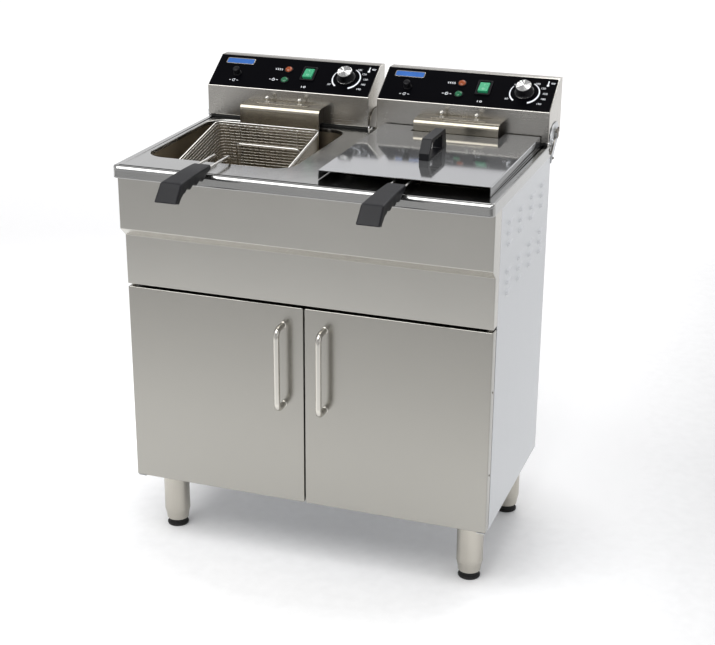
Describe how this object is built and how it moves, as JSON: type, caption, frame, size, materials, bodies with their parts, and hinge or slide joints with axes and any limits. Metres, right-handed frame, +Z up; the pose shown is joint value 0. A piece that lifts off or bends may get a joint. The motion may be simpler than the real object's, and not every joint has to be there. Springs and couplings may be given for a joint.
{
  "type": "deep fryer",
  "caption": "Free-standing electric deep fryer with two oil tanks, tilting control heads, lift-out wire baskets, a lid and a two-door cabinet on levelling legs.",
  "frame": {"origin": "centre of the overall box, on the floor plane under the feet", "axes": "+X to the user's right, -Y towards the user, +Z up"},
  "size_m": [0.708, 0.6604, 0.8746],
  "materials": {
    "cabinet_steel": "satin, horizontal grain",
    "side_steel": "satin",
    "tank_steel": "drawn, semi-bright",
    "plated_fittings": "nickel plated",
    "leg_steel": "satin, ringed grain",
    "foot_rubber": "matte",
    "handle_steel": "satin",
    "head_steel": "satin, horizontal grain",
    "panel_black": "satin printed foil",
    "knob_black": "semi-gloss",
    "switch_green": "translucent",
    "lamp_amber": "translucent",
    "lamp_green": "translucent",
    "polished_steel": "mirror polished sheet",
    "chrome_wire": "bright plated wire",
    "element_steel": "heat-darkened sheath",
    "grip_charcoal": "fine matte texture"
  },
  "bodies": {
    "cabinet": {"worktop": "cabinet_steel", "front_fascia": "cabinet_steel", "side_panel_left": "side_steel", "side_panel_right": "side_steel", "back_panel": "side_steel", "base_pan": "side_steel", "tank_left": "tank_steel", "tank_right": "tank_steel", "drain_valve_left": "plated_fittings", "drain_valve_right": "plated_fittings", "leg_front_left": "leg_steel", "leg_rear_left": "leg_steel", "leg_front_right": "leg_steel", "leg_rear_right": "leg_steel", "hinge_pin_left": "plated_fittings", "hinge_pin_right": "plated_fittings", "head_bracket_left": "side_steel", "head_bracket_right": "side_steel", "head_bracket_centre": "side_steel"},
    "door_left": {"door_left": "cabinet_steel", "door_handle_left": "handle_steel"},
    "head_left": {"head_housing_left": "head_steel", "control_panel_left": "panel_black", "switch_bezel_left": "knob_black", "heat_lamp_left": "lamp_amber", "power_lamp_left": "lamp_green", "element_cover_left": "polished_steel", "basket_hooks_left": "chrome_wire", "heating_element_left": "element_steel", "cable_gland_left": "knob_black"},
    "knob_left": {"thermostat_knob_left": "knob_black"},
    "switch_left": {"power_switch_left": "switch_green"},
    "reset_left": {"reset_button_left": "knob_black"},
    "basket_left": {"basket_left": "chrome_wire", "basket_grip_left": "grip_charcoal"},
    "drain_lever_left": {"drain_lever_left": "plated_fittings"},
    "foot_front_left": {"foot_front_left": "foot_rubber"},
    "foot_rear_left": {"foot_rear_left": "foot_rubber"},
    "door_right": {"door_right": "cabinet_steel", "door_handle_right": "handle_steel"},
    "head_right": {"head_housing_right": "head_steel", "control_panel_right": "panel_black", "switch_bezel_right": "knob_black", "heat_lamp_right": "lamp_amber", "power_lamp_right": "lamp_green", "element_cover_right": "polished_steel", "basket_hooks_right": "chrome_wire", "heating_element_right": "element_steel", "cable_gland_right": "knob_black"},
    "knob_right": {"thermostat_knob_right": "knob_black"},
    "switch_right": {"power_switch_right": "switch_green"},
    "reset_right": {"reset_button_right": "knob_black"},
    "basket_right": {"basket_right": "chrome_wire", "basket_grip_right": "grip_charcoal"},
    "drain_lever_right": {"drain_lever_right": "plated_fittings"},
    "foot_front_right": {"foot_front_right": "foot_rubber"},
    "foot_rear_right": {"foot_rear_right": "foot_rubber"},
    "lid": {"lid": "polished_steel", "lid_handle": "knob_black"}
  },
  "joints": [
    {"name": "door_left_hinge", "type": "hinge", "parent": "cabinet", "child": "door_left", "pos_m": [-0.34, -0.14715, 0.327], "axis": [0, 0, -1], "range_deg": [0, 110]},
    {"name": "head_left_tilt", "type": "hinge", "parent": "cabinet", "child": "head_left", "pos_m": [-0.17813, 0.26185, 0.772], "axis": [-1, 0, 0], "range_deg": [0, 75]},
    {"name": "basket_left_lift", "type": "slide", "parent": "head_left", "child": "basket_left", "axis": [0, 0, 1], "range_m": [0, 0.26]},
    {"name": "knob_left_turn", "type": "hinge", "parent": "head_left", "child": "knob_left", "pos_m": [-0.06713, 0.2516, 0.84849], "axis": [0, 0.5442, -0.839], "range_deg": [0, 270]},
    {"name": "switch_left_rock", "type": "hinge", "parent": "head_left", "child": "switch_left", "pos_m": [-0.14613, 0.25412, 0.85012], "axis": [1, 0, 0], "range_deg": [0, 14]},
    {"name": "reset_left_press", "type": "slide", "parent": "head_left", "child": "reset_left", "axis": [0, 0.5442, -0.839], "range_m": [0, 0.003], "stiffness_N_per_m": 1000, "springref_m": -0.001},
    {"name": "drain_left_turn", "type": "hinge", "parent": "cabinet", "child": "drain_lever_left", "pos_m": [-0.1875, -0.05315, 0.522], "axis": [0, 0, -1], "range_deg": [0, 90]},
    {"name": "foot_front_left_level", "type": "slide", "parent": "cabinet", "child": "foot_front_left", "axis": [0, 0, -1], "range_m": [0, 0.02]},
    {"name": "foot_rear_left_level", "type": "slide", "parent": "cabinet", "child": "foot_rear_left", "axis": [0, 0, -1], "range_m": [0, 0.02]},
    {"name": "door_right_hinge", "type": "hinge", "parent": "cabinet", "child": "door_right", "pos_m": [0.34, -0.14715, 0.327], "axis": [0, 0, 1], "range_deg": [0, 110]},
    {"name": "head_right_tilt", "type": "hinge", "parent": "cabinet", "child": "head_right", "pos_m": [0.17813, 0.26185, 0.772], "axis": [-1, 0, 0], "range_deg": [0, 75]},
    {"name": "basket_right_lift", "type": "slide", "parent": "head_right", "child": "basket_right", "axis": [0, 0, 1], "range_m": [0, 0.26]},
    {"name": "knob_right_turn", "type": "hinge", "parent": "head_right", "child": "knob_right", "pos_m": [0.28913, 0.2516, 0.84849], "axis": [0, 0.5442, -0.839], "range_deg": [0, 270]},
    {"name": "switch_right_rock", "type": "hinge", "parent": "head_right", "child": "switch_right", "pos_m": [0.21013, 0.25412, 0.85012], "axis": [1, 0, 0], "range_deg": [0, 14]},
    {"name": "reset_right_press", "type": "slide", "parent": "head_right", "child": "reset_right", "axis": [0, 0.5442, -0.839], "range_m": [0, 0.003], "stiffness_N_per_m": 1000, "springref_m": -0.001},
    {"name": "drain_right_turn", "type": "hinge", "parent": "cabinet", "child": "drain_lever_right", "pos_m": [0.1875, -0.05315, 0.522], "axis": [0, 0, -1], "range_deg": [0, 90]},
    {"name": "foot_front_right_level", "type": "slide", "parent": "cabinet", "child": "foot_front_right", "axis": [0, 0, -1], "range_m": [0, 0.02]},
    {"name": "foot_rear_right_level", "type": "slide", "parent": "cabinet", "child": "foot_rear_right", "axis": [0, 0, -1], "range_m": [0, 0.02]},
    {"name": "lid_lift", "type": "slide", "parent": "basket_right", "child": "lid", "axis": [0, 0, 1], "range_m": [0, 0.2]}
  ]
}
